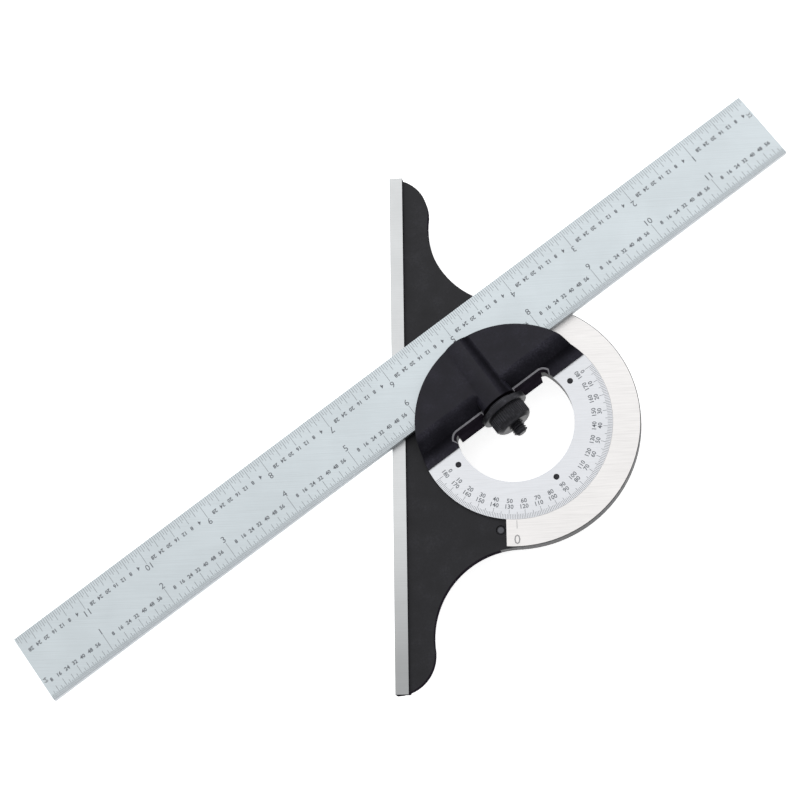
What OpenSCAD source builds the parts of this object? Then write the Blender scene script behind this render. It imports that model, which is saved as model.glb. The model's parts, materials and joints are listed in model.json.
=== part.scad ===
// Protractor head of a combination set, with its 12 inch rule.
// A cast head with a straight base carries a revolving turret. The turret holds
// the rule with a hook bolt and a knurled nut, and reads 0 to 180 degrees.
// Origin: middle of the base's working face. +X runs from that face to the turret
// axis, +Y runs along the base, and +Z points out of the graduated side.
// All dimensions are in millimetres.

/* [Head] */
// Length of the base
base_len = 177.6; // [150:0.1:220]
// Depth of the base, front to back
base_depth = 16; // [15:0.5:20]
// Thickness of the base rib, which is the width of its bright front strip
rib_w = 4.4; // [3:0.1:6]
// Radius of the base rib's two back corners
rib_corner_r = 14; // [4:0.5:14]
// Cast fillet between the rib and the back of the web
rib_fillet_r = 3; // [1:0.5:5]
// Width of the web between the rib and the turret
web_w = 4; // [3:0.1:12]
// Width of the ring around the turret
ring_w = 9.2; // [8.8:0.1:14]
// Thickness of the web and of the ring
web_t = 5.4; // [4.5:0.1:7]
// How far the painted web lies below the machined pad
web_recess = 1.2; // [0.3:0.1:1.5]
// Radius of the rounded shoulder at each end of the base
knob_r = 13; // [8:0.5:15]
// Radius of the hollow between a shoulder and the ring
hollow_r = 29; // [20:1:34]
// Where the machined pad begins, measured from the turret axis
pad_from = -3.5; // [-10:0.5:5]

/* [Turret] */
// Radius of the turret in the front bore
turret_r = 32.6; // [30:0.1:33.5]
// Width of the flange that the lock shoes press on
flange_w = 1.6; // [1:0.1:1.9]
// Thickness of the flange
flange_t = 2.2; // [1.5:0.1:3]
// Width of the turret's rim, between its edge and the window
turret_w = 12.6; // [9.5:0.1:14]
// Distance of the window's straight side from the axis
window_flat = 8.4; // [7:0.1:10]
// Corner radius of the window
window_corner_r = 2; // [1:0.5:3]
// Height of the raised half above the front face
cap_h = 6; // [5:0.1:8]
// Width of the slope, from its foot to the flat top of the raised half
slope_w = 3.7; // [2:0.1:5]
// Width of the lip between the window's straight side and the slope's foot
slope_lip = 1.6; // [1:0.1:2.5]
// Height of the low land between the slope and the scale plate
land_h = 0.5; // [0.2:0.1:1]
// Width of the land between the slope's foot and the scale plate
land_w = 5.5; // [4:0.1:7]
// Thickness of the scale plate
scale_t = 0.8; // [0.5:0.1:1.2]
// Radius of the three pins of the scale plate
scale_pin_r = 0.95; // [0.6:0.05:1.3]
// Distance of those pins from the window's edge
scale_pin_in = 3.2; // [2:0.1:5]

/* [Rule] */
// Length of the rule
rule_len = 304.8; // [150:0.1:610]
// Width of the rule
rule_w = 25.4; // [19:0.1:32]
// Thickness of the rule
rule_t = 2.4; // [1.5:0.1:3]
// Angle between the rule and the head's X axis
rule_angle = 35.3; // [0:0.1:90]
// How far the middle of the rule stands from the turret's centre line
rule_shift = -24.5; // [-90:0.5:90]
// Distance of the rule's seat behind the top of the slope
seat_back = 4.1; // [3:0.1:6]
// Width of the clamping groove along the back of the rule
groove_w = 3.2; // [2.4:0.1:4]
// Depth of that groove
groove_d = 0.9; // [0.6:0.1:1.2]

/* [Clamp] */
// Height of the bolt's axis above the front face
bolt_z = 1.2; // [0.8:0.1:1.6]
// Radius of the hook bolt
bolt_r = 4; // [3.5:0.1:4.4]
// Radius of the hook bolt's threaded end
thread_r = 2.5; // [2:0.1:2.8]
// How far the threaded end stands out of the nut
bolt_out = 3.6; // [1.5:0.1:5]
// Wall of the boss around the hook bolt
boss_wall = 2.3; // [1.5:0.1:2.6]
// Thickness of the lip that the clamp spring bears on
lip_t = 1.4; // [1:0.1:2]
// Room for the clamp spring when the rule is clamped
spring_room = 5.6; // [3:0.1:6]
// Travel of the hook bolt when the nut is slackened
bolt_travel = 1.2; // [0.5:0.1:1.4]
// Radius of the nut's flange
nut_flange_r = 8.4; // [7:0.1:9.5]
// Thickness of the nut's flange
nut_flange_t = 2.2; // [1.5:0.1:3]
// Radius of the nut's knurled barrel
nut_r = 6.7; // [5.5:0.1:8]
// Length of the nut, flange included
nut_len = 7.8; // [6:0.1:9]
// Thickness of the washer under the nut
nut_washer_t = 1.2; // [0.8:0.1:1.5]
// Radius of the washer under the nut
nut_washer_r = 5.6; // [4.5:0.1:7]
// Radius of the spring's wire
spring_wire_r = 0.3; // [0.2:0.05:0.4]
// Turns of the clamp spring
spring_turns = 5; // [3:1:6]

/* [Level] */
// Depth of the level housing behind the front face
level_depth = 12.6; // [12:0.1:14.5]
// Width of the level housing
level_w = 8.8; // [8:0.1:10]
// Length of the level housing
level_len = 34; // [24:0.5:38]
// Radius of the sleeve around the vial
sleeve_r = 2.9; // [2.5:0.1:3]
// Wall of the housing between the sleeve and the turret's back
level_wall = 0.4; // [0.3:0.1:0.8]
// Wall of the sleeve
sleeve_wall = 0.4; // [0.3:0.1:0.6]
// How much shorter than the housing the opening is through which the vial is read
sight_short = 14; // [10:0.5:16]
// Width of that opening
sight_w = 3.6; // [3:0.1:4.4]
// Wall of the glass vial
vial_wall = 0.5; // [0.3:0.1:0.6]
// Length of the bubble
bubble_len = 6; // [4:0.5:9]
// Thickness of the plug at each end of the housing
plug_t = 2; // [1.5:0.1:3]

/* [Locks] */
// Distance of a lock screw from the edge of the turret's flange
lock_out = 2; // [1.9:0.1:3]
// Where a lock screw stands on the X axis, measured from the turret axis
lock_x = -5.5; // [-9:0.1:-2]
// Radius of a lock screw's thread
lock_r = 1.5; // [1.2:0.1:1.6]
// Radius of a lock screw's knurled head
lock_head_r = 4.2; // [3.5:0.1:4.6]
// Thickness of that head
lock_head_t = 2.8; // [2:0.1:4]
// Thickness of a lock shoe
shoe_t = 2; // [1.5:0.1:2.5]
// Width of a lock shoe
shoe_w = 7; // [6:0.1:8]
// Reach of a lock shoe towards the turret
shoe_in = 4.4; // [3.8:0.1:5]
// Reach of a lock shoe towards the rim
shoe_out = 4; // [3.5:0.1:4.4]
// Thickness of a lock washer
lock_washer_t = 0.6; // [0.4:0.1:1]

/* [Clearances] */
// Radial running clearance of the turret in the head
run_gap = 0.05; // [0.03:0.01:0.1]
// Clearance between the rule and what it slides past
slide_gap = 0.05; // [0.03:0.01:0.1]
// Radial clearance around bolts and screws
bolt_gap = 0.08; // [0.04:0.01:0.1]
// Clearance on each side of a piece that sits still in its seat
seat_gap = 0.03; // [0.02:0.01:0.05]

/* [Hidden] */
$fn = 96;
eps = 0.01;
far = 60;
face_z = base_depth / 2;
axis_x = rib_w + web_w + turret_r;
rim_r = turret_r + ring_w;
window_r = turret_r - turret_w;
slope_foot = window_flat + slope_lip;
slope_top = slope_foot + slope_w;
scale_edge = slope_foot - land_w;
scale_pin_at = window_r + scale_pin_in;
seat_at = slope_top + seat_back;
knob_y = base_len / 2 - knob_r;

// Centre of each hollow, which touches the shoulder's arc and the rim's arc
knob_to_hollow = knob_r + hollow_r;
rim_to_hollow = rim_r + hollow_r;
knob_to_axis = norm([axis_x, knob_y]);
hollow_along = (knob_to_hollow ^ 2 - rim_to_hollow ^ 2 + knob_to_axis ^ 2) / (2 * knob_to_axis);
hollow_off = sqrt(knob_to_hollow ^ 2 - hollow_along ^ 2);
hollow = [
    (axis_x * hollow_along + knob_y * hollow_off) / knob_to_axis,
    knob_y + (axis_x * hollow_off - knob_y * hollow_along) / knob_to_axis
];

// The sharp gap beside each point of contact is filled to this distance from it
cusp_fill = 1;
to_knob = (hollow - [0, knob_y]) / knob_to_hollow;
to_rim = (hollow - [axis_x, 0]) / rim_to_hollow;
knob_cusp = cusp_fill * [-to_knob.y, to_knob.x];
rim_cusp = cusp_fill * [to_rim.y, -to_rim.x];

flange_r = turret_r + flange_w;
flange_back = web_t + 0.15;
flange_front = flange_back - flange_t;
window_corner_u = sqrt((window_r - window_corner_r) ^ 2 - (window_flat - window_corner_r) ^ 2);
cap_r = turret_r - 0.05;

// The rule lies 2 slide gaps above the front face, and the turret's floor carries it
rule_z = 2 * slide_gap;
rule_mid = seat_at + rule_w / 2;
slot_top = rule_z + rule_t + slide_gap;
groove_near = rule_mid - groove_w / 2;

bore_r = bolt_r + bolt_gap;
boss_r = bore_r + boss_wall;
boss_end = window_flat - 0.6;
lip_end = window_flat + lip_t;
bolt_end = turret_r - bolt_travel - 0.4;
spring_seat = lip_end + spring_room;
lug_near = groove_near + seat_gap;
lug_t = groove_w / 2;
spring_len = spring_seat - lip_end - 2 * seat_gap;
spring_r = (thread_r + bore_r) / 2;
washer_near = boss_end - seat_gap;
nut_near = washer_near - nut_washer_t - seat_gap;
nut_chamfer = 1.7;
nut_far = nut_near - nut_len;
bolt_tip = nut_far - bolt_out;

level_v = window_flat + level_w / 2;
level_z = -(flange_back + level_wall + seat_gap + sleeve_r);
vial_r = sleeve_r - sleeve_wall - seat_gap;
liquid_r = vial_r - vial_wall;
plug_at = level_len / 2 - plug_t;
vial_len = 2 * plug_at - 3;
sight_len = level_len - sight_short;

lock_at = flange_r + lock_out;
lock_angle = acos(lock_x / lock_at);
heel_at = lock_at + 0.05;
shoe_front = flange_back + seat_gap;
shoe_back = shoe_front + shoe_t;
washer_back = shoe_back + lock_washer_t;
neck_t = 0.8;
lock_tip = web_recess + 0.2;

// Puts children on the turret axis at the height of the front face
module on_axis() {
    translate([axis_x, 0, face_z])
        children();
}

// Turret frame: X along the rule, Y away from the nut, Z out of the front face
module in_turret() {
    on_axis()
        rotate([0, 0, rule_angle])
            children();
}

// Puts children on the bolt's axis with their Z axis pointing away from the nut
module along_bolt(from) {
    in_turret()
        translate([0, from, bolt_z])
            rotate([-90, 0, 0])
                children();
}

// Puts children at a lock screw, side -1 or 1, with their Z axis pointing backwards
module at_lock(side) {
    on_axis()
        rotate([0, 0, side * lock_angle])
            translate([lock_at, 0, 0])
                rotate([180, 0, 0])
                    children();
}

// A tube or a disc from height a to height b
module ring(outer, inner, a, b) {
    translate([0, 0, a])
        difference() {
            cylinder(r = outer, h = b - a);
            translate([0, 0, -eps])
                cylinder(r = inner, h = b - a + 2 * eps);
        }
}

// A solid round bar from height a to height b
module bar(r, a, b) {
    translate([0, 0, a])
        cylinder(r = r, h = b - a);
}

// Outline of the web: ring, two rounded shoulders and the hollows between them
module web_outline() {
    difference() {
        union() {
            translate([axis_x, 0])
                circle(r = rim_r);
            intersection() {
                union() {
                    for (side = [-1, 1])
                        translate([0, side * knob_y])
                            circle(r = knob_r);
                }
                translate([0, -base_len])
                    square([knob_r + 1, 2 * base_len]);
            }
            for (flip = [0, 1])
                mirror([0, flip])
                    polygon([
                        [0, -1], [0, knob_y], [0, knob_y] + knob_cusp,
                        hollow + knob_cusp, hollow + rim_cusp,
                        [axis_x, 0] + rim_cusp, [axis_x, -1]
                    ]);
        }
        for (side = [-1, 1])
            translate([hollow.x, side * hollow.y])
                circle(r = hollow_r);
    }
}

// Side outline of the rib, X from back to front and Y along the base
module rib_outline() {
    difference() {
        translate([0, -base_len / 2])
            square([base_depth, base_len]);
        for (side = [-1, 1])
            difference() {
                translate([-1, side * (base_len / 2 - rib_corner_r / 2 + 0.5) - rib_corner_r / 2 - 0.5])
                    square([rib_corner_r + 1, rib_corner_r + 1]);
                translate([rib_corner_r, side * (base_len / 2 - rib_corner_r)])
                    circle(r = rib_corner_r);
            }
    }
}

module rib() {
    translate([0, 0, -face_z])
        rotate([0, -90, 0])
            mirror([0, 0, 1])
                linear_extrude(rib_w)
                    rib_outline();
}

// Concave cast fillet where the web's back meets the rib
module rib_fillet() {
    translate([rib_w, knob_y, face_z - web_t])
        rotate([90, 0, 0])
            linear_extrude(2 * knob_y)
                difference() {
                    translate([-1, -rib_fillet_r])
                        square([rib_fillet_r + 1, rib_fillet_r + 1]);
                    translate([rib_fillet_r, -rib_fillet_r])
                        circle(r = rib_fillet_r);
                }
}

module head_frame() {
    color("#35353a")
        difference() {
            union() {
                translate([0, 0, face_z - web_t])
                    linear_extrude(web_t - web_recess)
                        web_outline();
                on_axis()
                    translate([0, 0, -web_t])
                        intersection() {
                            cylinder(r = rim_r, h = web_t);
                            translate([pad_from, -far, 0])
                                cube([2 * far, 2 * far, web_t]);
                        }
                rib();
                rib_fillet();
            }
            on_axis()
                bar(turret_r + run_gap, -far, 1);
            on_axis()
                bar(flange_r + 2 * run_gap, -far, run_gap - flange_front);
            for (side = [-1, 1])
                at_lock(side)
                    bar(lock_r + bolt_gap, -1, web_t + 1);
        }
}

// The window: a circle with one straight side and rounded corners
module window_outline() {
    tangent_v = window_r * (window_flat - window_corner_r) / (window_r - window_corner_r);
    intersection() {
        circle(r = window_r);
        translate([-far, tangent_v - 2 * far])
            square(2 * far);
    }
    translate([-window_corner_u, 0])
        square([2 * window_corner_u, window_flat]);
    for (side = [-1, 1])
        translate([side * window_corner_u, window_flat - window_corner_r])
            circle(r = window_corner_r);
}

module window_cut() {
    translate([0, 0, -far])
        linear_extrude(2 * far)
            window_outline();
}

// Raised half with its slope, as a bar along the rule
module cap_bar() {
    rotate([90, 0, 90])
        translate([0, 0, -far])
            linear_extrude(2 * far)
                polygon([
                    [scale_edge, -flange_back + 0.2], [scale_edge, land_h], [slope_foot, land_h],
                    [slope_top, cap_h], [far, cap_h], [far, -flange_back + 0.2]
                ]);
}

module turret_solid() {
    bar(turret_r, -flange_back, -scale_t);
    bar(flange_r, -flange_back, -flange_front);
    intersection() {
        bar(cap_r, -flange_back, far);
        union() {
            cap_bar();
            translate([0, boss_end, bolt_z])
                rotate([-90, 0, 0])
                    cylinder(r = boss_r, h = far);
        }
    }
    translate([-level_len / 2, window_flat, -level_depth])
        cube([level_len, level_w, level_depth - 1]);
}

module turret_body() {
    color("#2f2f33")
        difference() {
            in_turret()
                difference() {
                    turret_solid();
                    window_cut();
                    translate([-far, seat_at - slide_gap, slide_gap])
                        cube([2 * far, far, slot_top - slide_gap]);
                    for (turn = [0, 180, 270])
                        rotate([0, 0, turn])
                            translate([scale_pin_at, 0, -far])
                                cylinder(r = scale_pin_r + seat_gap, h = 2 * far);
                    translate([-far, level_v, level_z])
                        rotate([0, 90, 0])
                            cylinder(r = sleeve_r + seat_gap, h = 2 * far);
                    translate([0, level_v, -far])
                        sight_cut(sight_len, sight_w, far + level_z);
                }
            along_bolt(lip_end)
                cylinder(r = bore_r, h = far);
            along_bolt(0)
                cylinder(r = thread_r + 3 * bolt_gap, h = far);
        }
}

// A slot with round ends, its length along X
module sight_cut(len, w, h) {
    translate([-(len - w) / 2, -w / 2, 0])
        cube([len - w, w, h]);
    for (side = [-1, 1])
        translate([side * (len - w) / 2, 0, 0])
            cylinder(d = w, h = h);
}

module degree_scale() {
    color("#e2e6ea")
        in_turret()
            difference() {
                bar(turret_r, -scale_t, 0);
                window_cut();
                translate([-far, scale_edge, -far])
                    cube(2 * far);
                for (turn = [0, 180, 270])
                    rotate([0, 0, turn])
                        translate([scale_pin_at, 0, -far])
                            cylinder(r = scale_pin_r + seat_gap, h = 2 * far);
            }
}

module scale_pin(turn) {
    color("#26262a")
        in_turret()
            rotate([0, 0, turn])
                translate([scale_pin_at, 0, 0])
                    bar(scale_pin_r, 0.5 - flange_back, 0.1);
}

module rule() {
    color("#d0d6da")
        in_turret()
            translate([rule_shift - rule_len / 2, seat_at, rule_z])
                difference() {
                    cube([rule_len, rule_w, rule_t]);
                    translate([-1, (rule_w - groove_w) / 2, -1])
                        cube([rule_len + 2, groove_w, groove_d + 1]);
                }
}

module hook_bolt() {
    dome = 0.8;
    color("#3a3a3e")
        difference() {
            union() {
                along_bolt(spring_seat)
                    cylinder(r = bolt_r, h = bolt_end - spring_seat);
                along_bolt(bolt_tip + dome)
                    cylinder(r = thread_r, h = spring_seat - bolt_tip);
                along_bolt(bolt_tip)
                    cylinder(r1 = thread_r - dome, r2 = thread_r, h = dome);
                in_turret()
                    translate([-bolt_r + 0.8, lug_near, -1])
                        cube([2 * bolt_r - 1.6, lug_t, rule_z + groove_d - slide_gap + 1]);
            }
            in_turret()
                difference() {
                    translate([-far, seat_at - bolt_travel - 0.4, slide_gap - 0.01])
                        cube([2 * far, far, far]);
                    translate([-far, lug_near, -far])
                        cube([2 * far, lug_t, rule_z + groove_d - slide_gap + far]);
                }
        }
}

// Points of one ring of the spring's wire, at turning angle t and height z
function wire_ring(t, z, sides) = [
    for (k = [0 : sides - 1])
        let (a = 360 * k / sides, r = spring_r + spring_wire_r * cos(a))
            [r * cos(t), r * sin(t), z + spring_wire_r * sin(a)]
];

module clamp_spring() {
    sides = 8;
    steps_per_turn = 20;
    rings = spring_turns * steps_per_turn;
    rise = spring_len - 2 * spring_wire_r;
    points = [
        for (i = [0 : rings])
            each wire_ring(
                360 * i / steps_per_turn,
                spring_wire_r + rise * i / rings,
                sides)
    ];
    walls = [
        for (i = [0 : rings - 1], k = [0 : sides - 1])
            let (n = (k + 1) % sides)
                [i * sides + k, (i + 1) * sides + k, (i + 1) * sides + n, i * sides + n]
    ];
    first_end = [for (k = [0 : sides - 1]) k];
    last_end = [for (k = [sides - 1 : -1 : 0]) rings * sides + k];
    color("#8a8c90")
        along_bolt(lip_end + seat_gap)
            polyhedron(points, concat([first_end, last_end], walls), convexity = 10);
}

module nut_washer() {
    color("#4a4a4e")
        along_bolt(washer_near - nut_washer_t)
            ring(nut_washer_r, thread_r + 3 * bolt_gap, 0, nut_washer_t);
}

// The nut points away from the boss, so its outer end is the start of the outline
module clamp_nut() {
    inner = thread_r + bolt_gap;
    color("#2c2c30")
        along_bolt(nut_far)
            rotate_extrude()
                polygon([
                    [inner, 0], [nut_r - nut_chamfer, 0], [nut_r, nut_chamfer],
                    [nut_r, nut_len - nut_flange_t], [nut_flange_r, nut_len - nut_flange_t],
                    [nut_flange_r, nut_len], [inner, nut_len]
                ]);
}

// Puts children on the vial's axis, their Z axis along the rule
module along_vial() {
    in_turret()
        translate([0, level_v, level_z])
            rotate([0, 90, 0])
                children();
}

module vial_sleeve() {
    color("#b9a465")
        difference() {
            along_vial()
                ring(sleeve_r, sleeve_r - sleeve_wall, seat_gap - plug_at, plug_at - seat_gap);
            in_turret()
                translate([0, level_v, -far])
                    sight_cut(sight_len, sight_w, far + level_z);
        }
}

module vial_glass() {
    color("#cfe8d8", 0.4)
        along_vial()
            difference() {
                bar(vial_r, -vial_len / 2, vial_len / 2);
                bar(liquid_r, vial_wall - vial_len / 2, vial_len / 2 - vial_wall);
            }
}

// The bubble is a hollow at the middle of the vial, on the side away from the nut
module vial_liquid() {
    reach = vial_len / 2 - vial_wall - seat_gap;
    bubble_r = liquid_r * 0.45;
    color("#c8dc3c", 0.8)
        along_vial()
            difference() {
                bar(liquid_r - seat_gap, -reach, reach);
                translate([0, liquid_r - bubble_r - 0.3, 0]) {
                    bar(bubble_r, bubble_r - bubble_len / 2, bubble_len / 2 - bubble_r);
                    for (side = [-1, 1])
                        translate([0, 0, side * (bubble_len / 2 - bubble_r)])
                            sphere(r = bubble_r);
                }
            }
}

module vial_plug(side) {
    color("#2a2a2e")
        in_turret()
            translate([side * (plug_at + plug_t / 2) - plug_t / 2, level_v, level_z])
                rotate([0, 90, 0])
                    cylinder(r = sleeve_r, h = plug_t);
}

// Bridge from the turret's flange to a heel on the back of the head
module lock_shoe(side) {
    color("#55565a")
        at_lock(side)
            difference() {
                union() {
                    intersection() {
                        translate([-shoe_in, -shoe_w / 2, shoe_front])
                            cube([shoe_in + shoe_out, shoe_w, shoe_t]);
                        bar(shoe_in, shoe_front, shoe_back);
                    }
                    intersection() {
                        translate([heel_at - lock_at, -shoe_w / 2, web_t + seat_gap])
                            cube([far, shoe_w, shoe_t]);
                        bar(shoe_out, web_t + seat_gap, shoe_back);
                    }
                }
                bar(lock_r + 2 * bolt_gap, 0, far);
            }
}

module lock_washer(side) {
    color("#9a9ca0")
        at_lock(side)
            ring(lock_head_r - 0.8, lock_r + 2 * bolt_gap, shoe_back + seat_gap, washer_back);
}

module lock_screw(side) {
    head_at = washer_back + seat_gap;
    color("#3a3a3e")
        at_lock(side) {
            bar(lock_r, lock_tip, head_at + 1);
            bar(lock_head_r - 1.2, head_at, head_at + neck_t + 1);
            bar(lock_head_r, head_at + neck_t, head_at + neck_t + lock_head_t);
        }
}

head_frame();
turret_body();
degree_scale();
scale_pin(180);  // scale_pin_left
scale_pin(270);  // scale_pin_middle
scale_pin(0);  // scale_pin_right
rule();
hook_bolt();
clamp_spring();
nut_washer();
clamp_nut();
vial_sleeve();
vial_glass();
vial_liquid();
vial_plug(-1);  // vial_plug_left
vial_plug(1);  // vial_plug_right
lock_shoe(-1);  // lock_shoe_lower
lock_washer(-1);  // lock_washer_lower
lock_screw(-1);  // lock_screw_lower
lock_shoe(1);  // lock_shoe_upper
lock_washer(1);  // lock_washer_upper
lock_screw(1);  // lock_screw_upper
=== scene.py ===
import functools
import json
import math

import bpy
from bpy.props import FloatProperty, FloatVectorProperty, IntProperty, PointerProperty
from mathutils import Matrix, Vector

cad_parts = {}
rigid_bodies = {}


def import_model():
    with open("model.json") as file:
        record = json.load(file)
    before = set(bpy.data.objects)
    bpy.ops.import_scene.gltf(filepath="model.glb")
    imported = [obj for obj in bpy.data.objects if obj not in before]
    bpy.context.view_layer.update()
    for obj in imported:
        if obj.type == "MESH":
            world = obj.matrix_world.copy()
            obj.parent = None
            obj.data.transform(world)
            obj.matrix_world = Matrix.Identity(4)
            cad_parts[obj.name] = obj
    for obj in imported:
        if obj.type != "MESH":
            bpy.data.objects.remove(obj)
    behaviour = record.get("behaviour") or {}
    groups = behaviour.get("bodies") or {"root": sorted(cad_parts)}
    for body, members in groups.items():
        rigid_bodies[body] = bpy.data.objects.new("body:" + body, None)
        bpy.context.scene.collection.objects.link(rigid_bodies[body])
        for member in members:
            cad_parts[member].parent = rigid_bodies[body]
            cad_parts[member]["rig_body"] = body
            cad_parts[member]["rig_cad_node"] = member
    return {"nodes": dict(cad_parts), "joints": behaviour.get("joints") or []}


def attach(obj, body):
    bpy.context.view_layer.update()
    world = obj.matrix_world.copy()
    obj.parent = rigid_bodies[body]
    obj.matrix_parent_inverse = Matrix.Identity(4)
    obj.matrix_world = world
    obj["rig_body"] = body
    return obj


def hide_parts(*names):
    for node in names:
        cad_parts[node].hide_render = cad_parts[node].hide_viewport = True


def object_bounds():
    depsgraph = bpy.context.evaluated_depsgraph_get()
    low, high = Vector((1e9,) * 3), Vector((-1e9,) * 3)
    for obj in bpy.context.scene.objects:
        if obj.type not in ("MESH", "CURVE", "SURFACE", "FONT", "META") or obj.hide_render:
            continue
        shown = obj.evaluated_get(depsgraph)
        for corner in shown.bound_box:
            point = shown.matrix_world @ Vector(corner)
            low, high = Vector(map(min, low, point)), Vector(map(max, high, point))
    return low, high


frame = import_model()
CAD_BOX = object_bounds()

bl_info = {
    "name": "Protractor Head and Rule",
    "version": (1, 0, 0),
    "blender": (4, 5, 0),
    "location": "View3D > Sidebar > Protractor",
    "description": "Dresses a protractor head, its 12 inch rule and their fittings for rendering",
    "category": "Add Mesh",
}

MM = 0.001
INCH = 25.4 * MM
NEAR = 0.02 * MM  # What lies this close to a height lies on it
ROUGHLY = 0.1 * MM  # The same, for a face that may be broken or faceted
FACETED = 0.15 * MM  # How far the facets of a round face lie inside its radius

NODES = frame["nodes"]
JOINTS = {joint["name"]: joint for joint in frame["joints"]}
AXIS = Vector(JOINTS["turret_turn"]["pos_m"])
ALONG = Vector(JOINTS["rule_slide"]["axis"]).normalized()
AWAY = Vector(JOINTS["bolt_draw"]["axis"]).normalized()
UP = Vector((0, 0, 1))


def axes(x, y, z, origin):
    """A matrix that puts local X, Y and Z along these directions, from this origin."""
    return Matrix.Translation(origin) @ Matrix((x, y, z)).transposed().to_4x4()


# The turret's frame: X along the rule, Y away from the nut, Z out of the graduated face
TURRET = axes(ALONG, AWAY, UP, AXIS)
# The bolt's frame: its Z axis is the bolt's axis and points away from the nut
BOLT = axes(ALONG, -UP, AWAY, JOINTS["nut_turn"]["pos_m"])


def points_in(piece, matrix=Matrix.Identity(4)):
    """The vertices of a piece along the axes of a frame."""
    inverse = matrix.inverted()
    return [inverse @ vertex.co for vertex in piece.data.vertices]


def corners(points):
    """Lowest and highest corner of the box round some points."""
    return [Vector([end(p[i] for p in points) for i in range(3)]) for end in (min, max)]


def extent(node, matrix=Matrix.Identity(4)):
    """Lowest and highest corner of a CAD node along the axes of a frame."""
    return corners(points_in(NODES[node], matrix))


def linear(hex_colour):
    """An sRGB hex colour as linear red, green and blue."""
    channels = [int(hex_colour[i:i + 2], 16) / 255 for i in (1, 3, 5)]
    return [c / 12.92 if c <= 0.04045 else ((c + 0.055) / 1.055) ** 2.4 for c in channels]


# ---------------------------------------------------------------- settings


def length(name, description, default, **limits):
    """A length property in metres, shown in the scene's unit."""
    return FloatProperty(
        name=name, description=description, default=default, unit="LENGTH", precision=5, **limits)


def colour(name, description, default):
    """A colour property that opens a colour picker."""
    return FloatVectorProperty(
        name=name, description=description, default=linear(default), subtype="COLOR",
        min=0.0, max=1.0)


class ProtractorEdgeSettings(bpy.types.PropertyGroup):
    casting: length("Casting", "Rounding of the castings' edges", 0.3 * MM, min=0.0)
    pad: length("Pad", "Enamelled edge round the milled pad", 0.22 * MM, min=0.0)
    slope: length("Slope", "Rounding at the head of the turret's slope", 1.1 * MM, min=0.0)
    ridge: length("Ridge", "Cast fillet on the left of the bolt's ridge", 1.4 * MM, min=0.0)
    crease: length("Crease", "Cast fillet on the right of the bolt's ridge", 1.1 * MM, min=0.0)
    cut_back: length("Cut back", "Chamfer at the window's straight side", 1.1 * MM, min=0.0)
    lip: length("Lip", "Rounding of the window's lip", 0.35 * MM, min=0.0)
    plate: length("Plate", "Broken edge of the scale plate and the rule", 0.12 * MM, min=0.0)
    fitting: length("Fitting", "Broken edge of the small turned fittings", 0.2 * MM, min=0.0)


class ProtractorMarkSettings(bpy.types.PropertyGroup):
    proud: length("Proud", "How far the ink of a line stands out", 0.02 * MM, min=0.0)
    fine_line: length("Fine line", "Width of the shortest lines", 0.11 * MM, min=0.0)
    line: length("Line", "Width of every other line", 0.12 * MM, min=0.0)
    inch_figure: length("Inch figure", "Height of the rule's inch figures", 2.2 * MM, min=0.0)
    part_figure: length("Part figure", "Height of the rule's small figures", 1.4 * MM, min=0.0)
    degree_figure: length("Degree figure", "Height of the dial's figures", 1.5 * MM, min=0.0)
    zero_figure: length("Zero", "Height of the figure at the index line", 3.2 * MM, min=0.0)
    weight: FloatProperty(
        name="Weight", description="How much bolder the small figures are", default=0.03)


class ProtractorClampSettings(bpy.types.PropertyGroup):
    teeth: IntProperty(name="Teeth", description="Knurl teeth round the nut", default=48, min=12)
    knurl: length("Knurl", "Depth of the knurl", 0.25 * MM, min=0.0)
    pitch: length("Pitch", "Pitch of the hook bolt's thread", 0.8 * MM, min=0.0001)
    thread: length("Thread", "Depth of the hook bolt's thread", 0.42 * MM, min=0.0)
    barrel: length("Barrel", "Radius of the nut's knurled barrel", 6.7 * MM, min=0.0)
    flange: length("Flange", "Thickness of the nut's flange", 2.2 * MM, min=0.0)
    chamfer: length("Chamfer", "Chamfer at the nut's outer end", 1.7 * MM, min=0.0)


class ProtractorFinishSettings(bpy.types.PropertyGroup):
    enamel: colour("Enamel", "Black enamel of the castings", "#202024")
    turret: colour("Turret enamel", "Black enamel of the turret, a little bluer", "#1f1e27")
    # Painted shade: the darkened, sheenless enamel of the turret's slope, land and ridge crease
    pooled: colour("Pooled enamel", "Dull enamel of the turret's slope and land", "#3e3d46")
    # Painted shade: the darkened, sheenless enamel of the castings' side walls and the window's wall
    recess: colour("Recess", "Enamel lying thick and dull in the recesses", "#211d24")
    # Painted highlight: the grey, glossy enamel along the window's lip
    lip: colour("Lip", "Enamel rubbed grey along the window's lip", "#85848a")
    iron: colour("Iron", "Ground faces of the castings", "#d9dbdc")
    pad: colour("Pad", "Milled pad round the turret", "#f1efee")
    chrome: colour("Chrome", "Satin chrome of the rule", "#d0d8dc")
    edge: colour("Edge", "Ground edges of the rule", "#a9adb1")
    plate: colour("Plate", "Satin chrome of the scale plate", "#e6e8ec")
    oxide: colour("Oxide", "Black oxide of the nut, bolt and screws", "#2c2c30")
    rubbed: colour("Rubbed oxide", "Black oxide rubbed grey at the lock screws' ends", "#5c5d61")
    steel: colour("Steel", "Plain steel of shoes, washers and screw ends", "#8d8f93")
    ink: colour("Ink", "Ink in the graduations", "#676b71")
    groove: colour("Groove", "Bare engraved lines without ink", "#9b9b9d")
    brass: colour("Brass", "Brass sleeve of the level", "#c9a860")
    spirit: colour("Spirit", "Spirit in the level", "#c3dc3a")
    rubber: colour("Rubber", "Plugs of the level", "#1d1d1f")
    floor: colour("Floor", "Paper sweep under the tool", "#fbfbfb")


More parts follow.
